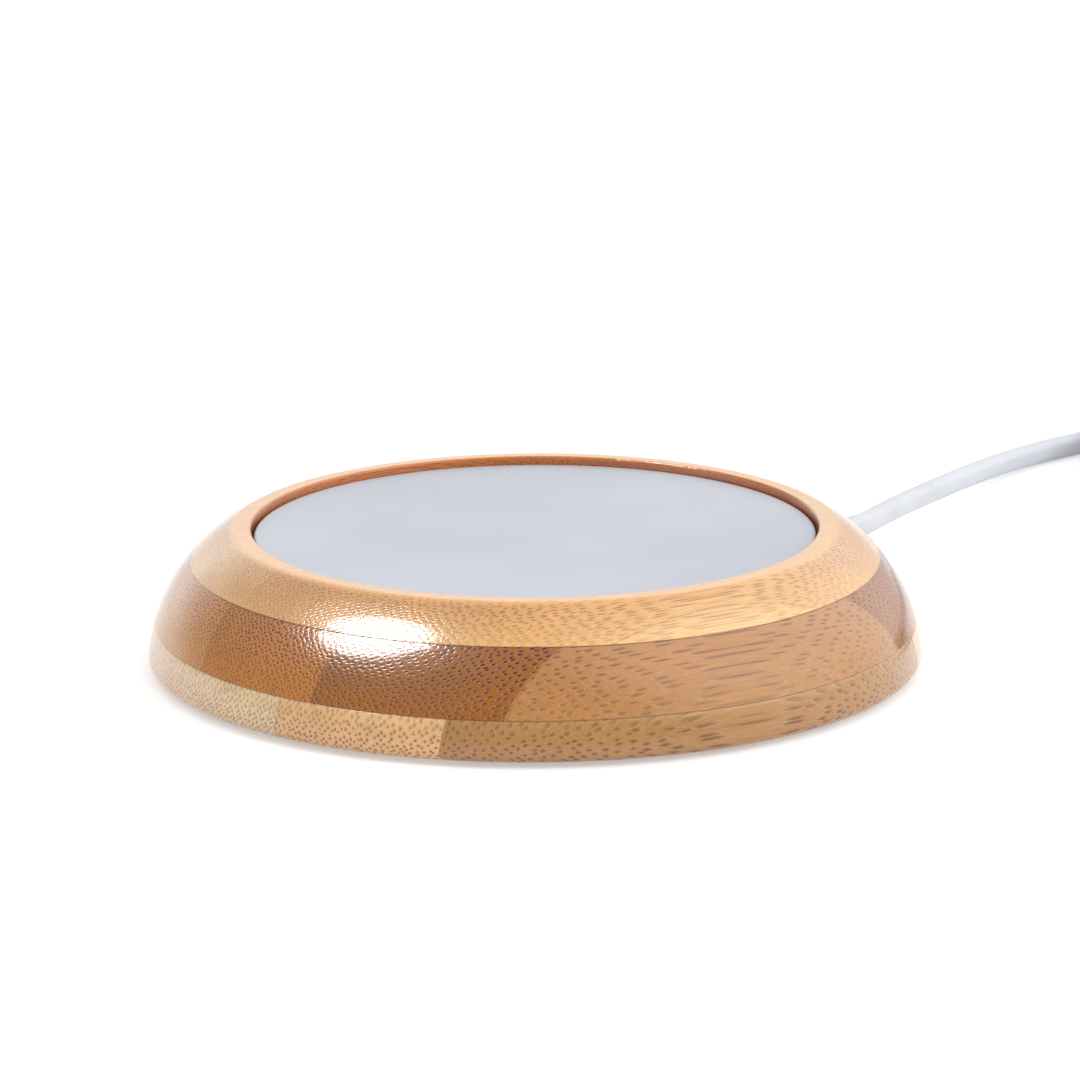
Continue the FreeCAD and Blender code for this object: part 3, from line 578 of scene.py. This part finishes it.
def fibre_bundles(graph, in_mm, across, height, spacing, outer, outer_up):
    """Masks of the bundles: their whole outline, their cores, their sheaths and their pale side, a painted
    highlight.
    """

    def add(kind, *values, **settings):
        return add_node(graph, kind, *values, **settings)

    # The fibres wander slowly sideways along the stalk.
    sway = fibre_noise(graph, in_mm, SWAY_NOISE, 2.0).outputs["Color"]
    sway_across, sway_up, _ = add("SeparateColor", sway).outputs
    across = add("Math", sway_across, SWAY_ACROSS, across, **TIMES_PLUS)
    height = add("Math", sway_up, SWAY_UP, height, **TIMES_PLUS)

    pack = add("Math", add("Math", outer, ROWS_OUTSIDE, ROWS_INSIDE, **TIMES_PLUS), spacing, **OVER)
    row_v = add("Math", across, spacing, **OVER)
    row_h = add("Math", height, pack, **TIMES)
    flat_at = add("CombineXYZ", row_v, row_h, 0.0)
    turn = (0, 0, math.radians(LATTICE_DEG))
    cell_at = add("Mapping", {"Vector": flat_at, "Rotation": turn})
    lattice = {"Vector": cell_at, "Scale": 1.0, "Randomness": LATTICE_JITTER}
    cells = add("TexVoronoi", lattice, voronoi_dimensions="2D")
    off = add("Math", cells.outputs["Distance"], spacing, **TIMES)
    lean = add("SeparateXYZ", add("VectorMath", cell_at, cells.outputs["Position"], **MINUS))
    side = add("Math", lean.outputs[0], lean.outputs[1], **PLUS)
    side = side if outer_up else add("Math", side, -1.0, **TIMES)
    chance = add("SeparateColor", cells.outputs["Color"]).outputs[0]

    size = add("Math", outer, BUNDLE_R_OUTSIDE, BUNDLE_R, **TIMES_PLUS)
    size = add("Math", chance, BUNDLE_R_BY_CHANCE, size, **TIMES_PLUS)
    size = add("Math", size, add("Math", spacing, *SIZE_BY_SPACING, **TIMES_PLUS), **TIMES)
    sheath_edge = add("Math", size, SHEATH_W, **PLUS)
    sheath = add("MapRange", off, sheath_edge, size, **SOFT)
    core_low = add("Math", size, CORE_LOW_EDGE, **TIMES)
    core_high = add("Math", size, CORE_HIGH_EDGE, **TIMES)
    core = add("MapRange", off, core_low, core_high, **SOFT)
    outline = add("MapRange", off, *CRESCENT_OUTSIDE, **SOFT)
    middle = add("MapRange", off, *CRESCENT_INSIDE, **SOFT)
    crescent = add("Math", outline, middle, **MINUS)
    crescent = add("Math", crescent, add("MapRange", side, *CRESCENT_SIDE, **SOFT), **TIMES)

    solid = add("MapRange", outer, *SPOT_SHARE, **SOFT)
    hollow = add("Math", 1.0, solid, **MINUS)
    cores = add("Math", core, add("Math", solid, *CORE_SHARE, **TIMES_PLUS), **TIMES)
    crescents = add("Math", add("Math", crescent, hollow, **TIMES), CRESCENT_SHARE, **TIMES)
    cores = add("Math", cores, crescents, **LARGER)
    sheaths = add("Math", sheath, add("Math", solid, *SHEATH_SHARE, **TIMES_PLUS), **TIMES)
    pale = add("Math", sheath, add("MapRange", side, *BUNDLE_HIGHLIGHT_SIDE, **SOFT), **TIMES)
    return sheath, cores, sheaths, pale


# %% [markdown]
# The glue shows as a dark hairline at each joint between plies and between strips.

# %% Glue lines
# Half-widths over which a glue line fades in: in millimetres between plies, in strips between strips.
PLY_GLUE = (0.16, 0.04)
STRIP_GLUE = (0.005, 0.001)
STRIP_GLUE_SHARE = 0.7
GLUE_SHARE = 0.32


def glue_lines(graph, across, height, first_joint):
    """A mask of the glue at the joints."""
    gaps = []
    for joint in JOINTS:
        above = add_node(graph, "Math", height, joint, **MINUS)
        gaps.append(add_node(graph, "Math", above, operation="ABSOLUTE"))
    nearest = add_node(graph, "Math", *gaps, operation="MINIMUM")
    plies = add_node(graph, "MapRange", nearest, *PLY_GLUE, **SOFT)
    past = add_node(graph, "Math", across, first_joint, **MINUS)
    phase = add_node(graph, "Math", past, STRIP_W, **OVER)
    phase = add_node(graph, "Math", phase, 0.5, operation="PINGPONG")
    strips = add_node(graph, "MapRange", phase, *STRIP_GLUE, **SOFT)
    strips = add_node(graph, "Math", strips, STRIP_GLUE_SHARE, **TIMES)
    both = add_node(graph, "Math", plies, strips, **LARGER)
    return add_node(graph, "Math", both, GLUE_SHARE, use_clamp=True, **TIMES)


# %% [markdown]
# Then the colours are laid on in order: the strip's shade, its drift along the stalk, its fine fibre, the
# darker end grain, a painted highlight on the crown, painted shade on the recess's wall, the bundles with a
# painted highlight on one side, and last the glue. The coat of lacquer has a relief of its own, lower than
# the pores below it.

# %% Lacquered bamboo
# Shades that are laid over a strip's own, and how strongly.
OUTSIDE_SHADE, OUTSIDE_SHARE = "b87838", 0.25
SOAKED_SHADE = "c48850"
# The crown's pale shade is a painted highlight along the upward-facing rim.
CROWN_PAINTED_HIGHLIGHT, CROWN_HIGHLIGHT_SHARE = "f6bc7e", 0.8
# The recess wall's darker shade is painted shade.
RECESS_PAINTED_SHADE = "d8a870"
# The pale fleck on one side of each bundle is a painted highlight.
BUNDLE_PAINTED_HIGHLIGHT, BUNDLE_HIGHLIGHT_SHARE = "f6dcb0", 0.24
SHEATH_SHADE = "c89860"
CORE_SHADE = "84582c"
GLUE_SHADE = "5c3418"
BROAD_STOPS = ((0.3, 0.86), (0.7, 1.0))
FINE_STOPS = ((0.3, "ece0d0"), (0.65, "ffffff"))
# Where the painted shade on the recess's wall begins and is full, in millimetres outside its radius.
RECESS_SHADE_EDGE = (0.35, 0.1)
# How much of the bundles' contrast is lost on the crown.
CROWN_LOSS = 0.75


def lacquered_bamboo(name, span, outer_up, first_joint, shades, spacings, contrasts, soak, fade=NO_FADE):
    """One ply of lacquered bamboo.

    The span is its low and high side, and outer_up tells which one was the stalk's outside. Each strip has a
    shade, a spacing and a contrast. End grain darkens by the soak. Over the fade the bundles pale, and a
    painted highlight lightens the crown.
    """
    low, high = span
    material, shader = new_material(name)
    graph = material.node_tree

    def add(kind, *values, **settings):
        return add_node(graph, kind, *values, **settings)

    in_mm, along, across, height, end_grain = stalk_places(graph)
    share = add("Math", add("Math", height, low, **MINUS), high - low, use_clamp=True, **OVER)
    outer = share if outer_up else add("Math", 1.0, share, **MINUS)
    shade, spacing, contrast = strip_traits(graph, across, first_joint, shades, spacings, contrasts)
    sheath, cores, sheaths, pale = fibre_bundles(graph, in_mm, across, height, spacing, outer, outer_up)
    faded = add("MapRange", height, *fade, **SOFT)
    strength = add("Math", add("Math", faded, -CROWN_LOSS, 1.0, **TIMES_PLUS), contrast, **TIMES)
    cores = add("Math", cores, strength, use_clamp=True, **TIMES)
    sheaths = add("Math", sheaths, strength, use_clamp=True, **TIMES)
    pale = add("Math", add("Math", pale, strength, **TIMES), BUNDLE_HIGHLIGHT_SHARE, **TIMES)

    fine = fibre_noise(graph, in_mm, FINE_NOISE, 3.0).outputs["Fac"]
    broad = fibre_noise(graph, in_mm, BROAD_NOISE, 4.0).outputs["Fac"]
    broad_shade = ramp_of(graph, broad, BROAD_STOPS, constant=False)
    fine_shade = ramp_of(graph, fine, FINE_STOPS, constant=False)
    from_axis = add("VectorMath", add("CombineXYZ", along, across, 0.0), operation="LENGTH").outputs["Value"]
    wall = add("MapRange", from_axis, RECESS_R + RECESS_SHADE_EDGE[0], RECESS_R + RECESS_SHADE_EDGE[1], **SOFT)
    layers = (
        (add("Math", outer, OUTSIDE_SHARE, **TIMES), linear(OUTSIDE_SHADE), DARKENED),
        (1.0, broad_shade, DARKENED),
        (1.0, fine_shade, DARKENED),
        # Cut across, the fibre soaks up more lacquer and turns darker and redder.
        (add("Math", end_grain, soak, **TIMES), linear(SOAKED_SHADE), DARKENED),
        # The ring's crown is even and painted pale: a painted highlight along the upward-facing rim.
        (add("Math", faded, CROWN_HIGHLIGHT_SHARE, **TIMES), linear(CROWN_PAINTED_HIGHLIGHT), MIXED),
        # Painted shade: the recess's wall is darkened a little against the dome, where less light reaches
        # it.
        (wall, linear(RECESS_PAINTED_SHADE), DARKENED),
        # A painted highlight on one side of each bundle.
        (pale, linear(BUNDLE_PAINTED_HIGHLIGHT), MIXED),
        (sheaths, linear(SHEATH_SHADE), DARKENED),
        (cores, linear(CORE_SHADE), DARKENED),
        (glue_lines(graph, across, height, first_joint), linear(GLUE_SHADE), MIXED),
    )
    base = shade
    for factor, colour, settings in layers:
        base = add("Mix", {0: factor, 6: base, 7: colour}, **settings).outputs[2]

    pores = add("Math", sheath, -1.0, add("Math", fine, 0.3, **TIMES), **TIMES_PLUS)
    relief = add("Bump", {"Height": pores, "Strength": 0.5, "Distance": mm(PORE_RELIEF)})
    skin = add("Bump", {"Height": pores, "Strength": 0.5, "Distance": mm(LACQUER_RELIEF)})
    wire(graph, shader, Base_Color=base, Normal=relief, Coat_Normal=skin)
    shader.inputs["Roughness"].default_value = 0.45
    shader.inputs["Specular IOR Level"].default_value = 0.25
    shader.inputs["Coat Weight"].default_value = 1.0
    shader.inputs["Coat Roughness"].default_value = LACQUER_ROUGHNESS
    shader.inputs["Coat IOR"].default_value = LACQUER_IOR
    return material


# %% [markdown]
# The three plies use the same finish with other strips. The middle one has the dark strip that shows at
# the front, and its neighbour beyond the slanting joint is pale.

# %% Ply materials
CROWN_FADE = (19.6, 20.3)

bamboo_top = lacquered_bamboo(
    "lacquered bamboo, top ply",
    span=(high_joint, RING_TOP),
    outer_up=True,
    first_joint=-46.0,
    shades=("ffd290", "fcca84", "fac884", "ffd290", "fcca84", "ffd290"),
    spacings=(0.78, 0.74, 0.72, 0.70, 0.72, 0.74),
    contrasts=(0.45, 0.45, 0.42, 0.42, 0.45, 0.45),
    soak=0.45,
    fade=CROWN_FADE,
)
bamboo_middle = lacquered_bamboo(
    "lacquered bamboo, middle ply",
    span=(low_joint, high_joint),
    outer_up=True,
    first_joint=-43.3,
    shades=("cb9356", "b16d1b", "d48929", "e09e4a", "e0a25a", "d8a26a"),
    spacings=(1.05, 0.80, 0.74, 0.74, 0.78, 0.80),
    contrasts=(0.50, 1.0, 1.0, 0.90, 0.80, 0.80),
    soak=0.05,
)
bamboo_bottom = lacquered_bamboo(
    "lacquered bamboo, bottom ply",
    span=(RING_LOW, low_joint),
    outer_up=False,
    first_joint=-38.4,
    shades=("c8975c", "ffd399", "ffe6bc", "fcd8b0", "fcd4a0", "fcd4a0"),
    spacings=(0.76, 0.66, 0.62, 0.62, 0.66, 0.68),
    contrasts=(0.60, 0.70, 0.65, 0.60, 0.60, 0.60),
    soak=0.05,
)
for piece, material in ((top_ply, bamboo_top), (middle_ply, bamboo_middle), (bottom_ply, bamboo_bottom)):
    piece.data.materials.clear()
    piece.data.materials.append(material)
    print(piece.name, "is", material.name)

# %% [markdown]
# ## Anodised aluminium
# The plate is blasted with fine grit and anodised clear. It looks like an even, pale, bluish grey with no
# visible reflections: a metal, but rough. A fine grain keeps it alive, coarser here than the real grit.

# %% Aluminium plate
BLAST_GRAIN = 0.35
BLAST_CLOUD = 30.0


def grain_of(graph, size, detail):
    """Noise of a given size in millimetres, fixed to the object."""
    place = add_node(graph, "TexCoord").outputs["Object"]
    noise = add_node(graph, "TexNoise", {"Vector": place, "Scale": 1 / mm(size), "Detail": detail})
    return noise.outputs["Fac"]


def gloss_of(graph, grain, low, high):
    """A roughness that varies with the grain between two values."""
    return add_node(graph, "MapRange", {"Value": grain, "To Min": low, "To Max": high})


def blasted_aluminium():
    """Fine-blasted, clear-anodised aluminium."""
    material, shader = new_material("blasted anodised aluminium")
    graph = material.node_tree
    grain = grain_of(graph, BLAST_GRAIN, 3.0)
    mixed = add_node(graph, "Math", grain, 0.35, grain_of(graph, BLAST_CLOUD, 2.0), **TIMES_PLUS)
    colour = ramp_of(graph, mixed, ((0.4, "b7bac2"), (0.95, "c2c5cd")), constant=False)
    bump = add_node(graph, "Bump", {"Height": grain, "Strength": 0.25, "Distance": mm(0.01)})
    wire(graph, shader, Base_Color=colour, Roughness=gloss_of(graph, grain, 0.56, 0.66), Normal=bump)
    shader.inputs["Metallic"].default_value = 0.6
    return material


plate.data.materials.append(blasted_aluminium())
print("plate is", plate.data.materials[0].name)

# %% [markdown]
# ## Mouldings, rubber and metal
# The remaining finishes differ in a few numbers: a moulded plastic or rubber has a fine cast grain, and a
# plated metal has faint variation in its gloss. Two functions cover them, and each piece names its own.

# %% Moulded and plated finishes
MOTTLE_SIZE = 9.0
MOULDED_GLOSS_RANGE = 0.05
PLATED_GLOSS_RANGE = 0.06
SOFT_DEPTH = 1.2


def moulded(name, dark, light, roughness, grain_mm, relief_mm, soft=0.0):
    """A moulded plastic or rubber: slight mottling between two shades, with a cast grain."""
    material, shader = new_material(name)
    graph = material.node_tree
    mottle = grain_of(graph, MOTTLE_SIZE, 4.0)
    grain = grain_of(graph, grain_mm, 2.0)
    colour = ramp_of(graph, mottle, ((0.3, dark), (0.7, light)), constant=False)
    gloss = gloss_of(graph, grain, roughness - MOULDED_GLOSS_RANGE, roughness + MOULDED_GLOSS_RANGE)
    bump = add_node(graph, "Bump", {"Height": grain, "Strength": 0.35, "Distance": mm(relief_mm)})
    wire(graph, shader, Base_Color=colour, Roughness=gloss, Normal=bump)
    if soft:
        shader.inputs["Subsurface Weight"].default_value = soft
        shader.inputs["Subsurface Radius"].default_value = (mm(SOFT_DEPTH),) * 3
    return material


def plated(name, dark, light, roughness, grain_mm):
    """A plated or pressed metal, with gloss that varies a little over its surface."""
    material, shader = new_material(name)
    graph = material.node_tree
    grain = grain_of(graph, grain_mm, 4.0)
    colour = ramp_of(graph, grain, ((0.3, dark), (0.7, light)), constant=False)
    gloss = gloss_of(graph, grain, roughness - PLATED_GLOSS_RANGE, roughness + PLATED_GLOSS_RANGE)
    wire(graph, shader, Base_Color=colour, Roughness=gloss)
    shader.inputs["Metallic"].default_value = 1.0
    return material


# %% [markdown]
# Each piece names its finish: two shades, a roughness, the size of its grain and, if moulded, its relief.

# %% A finish for each piece
lead_pvc = moulded("white PVC lead sheath", "d4d6de", "dfe1e8", 0.36, 0.8, 0.01, soft=0.1)
finishes = {
    "plate_seal": moulded("grey silicone seal", "55565a", "606166", 0.6, 0.5, 0.02),
    "heater_film": plated("amber polyimide film", "b8701c", "c8812a", 0.3, 2.0),
    "heater_trace": plated("etched steel foil", "9a968e", "aaa69e", 0.4, 1.0),
    "insulation_pad": moulded("needled white felt", "cfccc2", "dedbd2", 0.9, 0.6, 0.15),
    "retainer_plate": plated("zinc plated pressed steel", "a3a6aa", "b8bbbf", 0.35, 4.0),
    "retainer_screws": plated("zinc plated screw steel", "9a9c9e", "b0b2b4", 0.3, 1.0),
    "thermal_cutout": moulded("black phenolic case", "1c1b1b", "262424", 0.5, 0.5, 0.02),
    "cutout_clip": plated("spring steel strip", "a8a9aa", "b9babb", 0.3, 2.0),
    "heater_leads": moulded("red silicone wire sleeve", "a8221c", "b92c24", 0.45, 0.4, 0.01),
    "splice_sleeves": moulded("natural nylon sleeve", "d9d6c8", "e4e1d5", 0.45, 0.6, 0.01),
    "lead_cores": moulded("red PVC core", "9c1d1a", "ae2721", 0.4, 0.4, 0.01),
    "inner_lead": lead_pvc,
    "lead_clamp": moulded("black nylon clamp", "1d1d1e", "272728", 0.5, 0.5, 0.02),
    "clamp_screws": plated("zinc plated screw steel, clamp", "9a9c9e", "b0b2b4", 0.3, 1.0),
    "strain_relief": moulded("white PVC grommet", "d5d7df", "dfe1e8", 0.42, 0.6, 0.015),
    "bottom_cover": moulded("black textured ABS", "161616", "202020", 0.62, 0.35, 0.04),
    "cover_screws": plated("black oxide screw steel", "3a3a3c", "4a4a4c", 0.4, 1.0),
    "feet": moulded("dark silicone foot", "2a2a2b", "343436", 0.7, 0.5, 0.03),
    "plug_overmould": moulded("white PVC overmould", "d5d7df", "dfe1e8", 0.45, 0.5, 0.02),
    "plug_shell": plated("nickel plated steel shell", "b9b8b4", "cccbc7", 0.22, 3.0),
    "plug_tongue": moulded("white insulator plastic", "e6e5e0", "f0efea", 0.4, 0.6, 0.01),
    "plug_contacts": plated("gold flashed contact", "d9a441", "e6b45a", 0.2, 1.0),
}
seal.data.materials.append(finishes["plate_seal"])
lead.data.materials.append(lead_pvc)
for name, material in finishes.items():
    if name == "plate_seal":
        continue
    body = nodes[name].data
    body.materials.clear()
    body.materials.append(material)
print(len(finishes), "finishes made")

# %% [markdown]
# ## Table and light
# The product stands on a seamless white sweep under soft light from all round. The table is plain white,
# and only shows the contact shadow. To the camera and in reflections it glows a little, so that it stays
# white.

# %% Table
FLOOR_SIZE = 12.0
FLOOR_GLOW = 0.42
WHITE = (1, 1, 1, 1)

select_nothing()
bpy.ops.mesh.primitive_plane_add(size=FLOOR_SIZE, location=(0, 0, 0))
floor = bpy.context.active_object
floor.name = "table"
floor_material = bpy.data.materials.new("white table")
floor_material.use_nodes = True
graph = floor_material.node_tree
graph.nodes.clear()
paper = add_node(graph, "BsdfDiffuse", {"Color": linear("e6e6e6")})
glow = add_node(graph, "Emission", {"Color": WHITE, "Strength": FLOOR_GLOW})
both = add_node(graph, "AddShader", paper, glow)
path = add_node(graph, "LightPath").outputs
seen = add_node(graph, "Math", path["Is Camera Ray"], path["Is Glossy Ray"], **LARGER)
choice = add_node(graph, "MixShader", seen, paper, both)
add_node(graph, "OutputMaterial", {"Surface": choice})
floor.data.materials.append(floor_material)
print("table", FLOOR_SIZE, "m wide")

# %% [markdown]
# The camera sees the world as plain white. As a source of light it is even and a little weaker, so that
# colours render near to how they are written. Reflections see a studio, as on a real product table: white
# behind the object, dim behind the camera, and a broad soft sheen from a white wall on the right. This
# gives the lacquer its white rim and its clear front.

# %% World
WORLD_STRENGTH = 0.90
# Glare by direction, from straight behind the object round to the camera: position, then strength by halves.
GLARE_STOPS = ((0.0, 0.42), (0.04, 0.46), (0.12, 0.80), (0.30, 0.15), (1.0, 0.11))
CAMERA_SIDE = (0.60, -0.80, 0.20)
SHEEN_WAY = (0.57, 0.47, 0.67)
SHEEN_EDGE = 0.55
SHEEN_STRENGTH = 2.0


def alignment(graph, way):
    """How squarely a ray looks a given way: 1 along it, and -1 against it."""
    ray = add_node(graph, "TexCoord").outputs["Generated"]
    unit = Vector(way).normalized()
    return add_node(graph, "VectorMath", ray, unit, operation="DOT_PRODUCT").outputs["Value"]


world = bpy.data.worlds.new("white studio")
bpy.context.scene.world = world
world.use_nodes = True
graph = world.node_tree
graph.nodes.clear()
path = add_node(graph, "LightPath").outputs
plain = add_node(graph, "Math", path["Is Camera Ray"], path["Is Transmission Ray"], **LARGER)

turned_front = add_node(graph, "MapRange", {"Value": alignment(graph, CAMERA_SIDE), "From Min": -1.0})
halves = ramp_of(graph, turned_front, GLARE_STOPS, constant=False)
sheen_range = {"Value": alignment(graph, SHEEN_WAY), "From Min": SHEEN_EDGE, "To Max": SHEEN_STRENGTH}
sheen = add_node(graph, "MapRange", sheen_range, **SOFT)
glare = add_node(graph, "Math", halves, 2.0, sheen, **TIMES_PLUS)
lit = add_node(graph, "Mix", {0: path["Is Glossy Ray"], 2: WORLD_STRENGTH, 3: glare}, data_type="FLOAT")
strength = add_node(graph, "Mix", {0: plain, 2: lit, 3: 1.0}, data_type="FLOAT")
sky = add_node(graph, "Background", {"Color": WHITE, "Strength": strength})
add_node(graph, "OutputWorld", {"Surface": sky})
print("world", WORLD_STRENGTH)

# %% [markdown]
# One softbox up on the left is only there for its highlight on the lacquer. A weaker one up on the right
# gives the light a side, and doesn't show in reflections.

# %% Softboxes
KEY_WAY = (-0.312, -0.470, 0.826)
GLINT_POWER = 11.0
FILL_WAY = (0.82, 0.16, 0.55)
FILL_POWER = 2.2
# In metres.
SOFTBOX_DISTANCE = 0.9
SOFTBOX_SIZE = 0.44


def softbox(name, way, power):
    """A round softbox in a given direction, aimed at the object."""
    data = bpy.data.lights.new(name, "AREA")
    data.shape = "DISK"
    data.size = SOFTBOX_SIZE
    data.energy = power
    light = bpy.data.objects.new(name, data)
    bpy.context.scene.collection.objects.link(light)
    way = Vector(way).normalized()
    light.location = way * SOFTBOX_DISTANCE
    light.rotation_mode = "QUATERNION"
    light.rotation_quaternion = way.to_track_quat("Z", "Y")
    return light


glint = softbox("highlight softbox", KEY_WAY, GLINT_POWER)
glint.visible_diffuse = False
fill = softbox("fill softbox", FILL_WAY, FILL_POWER)
fill.visible_glossy = False
print("softboxes", SOFTBOX_DISTANCE, "m away")
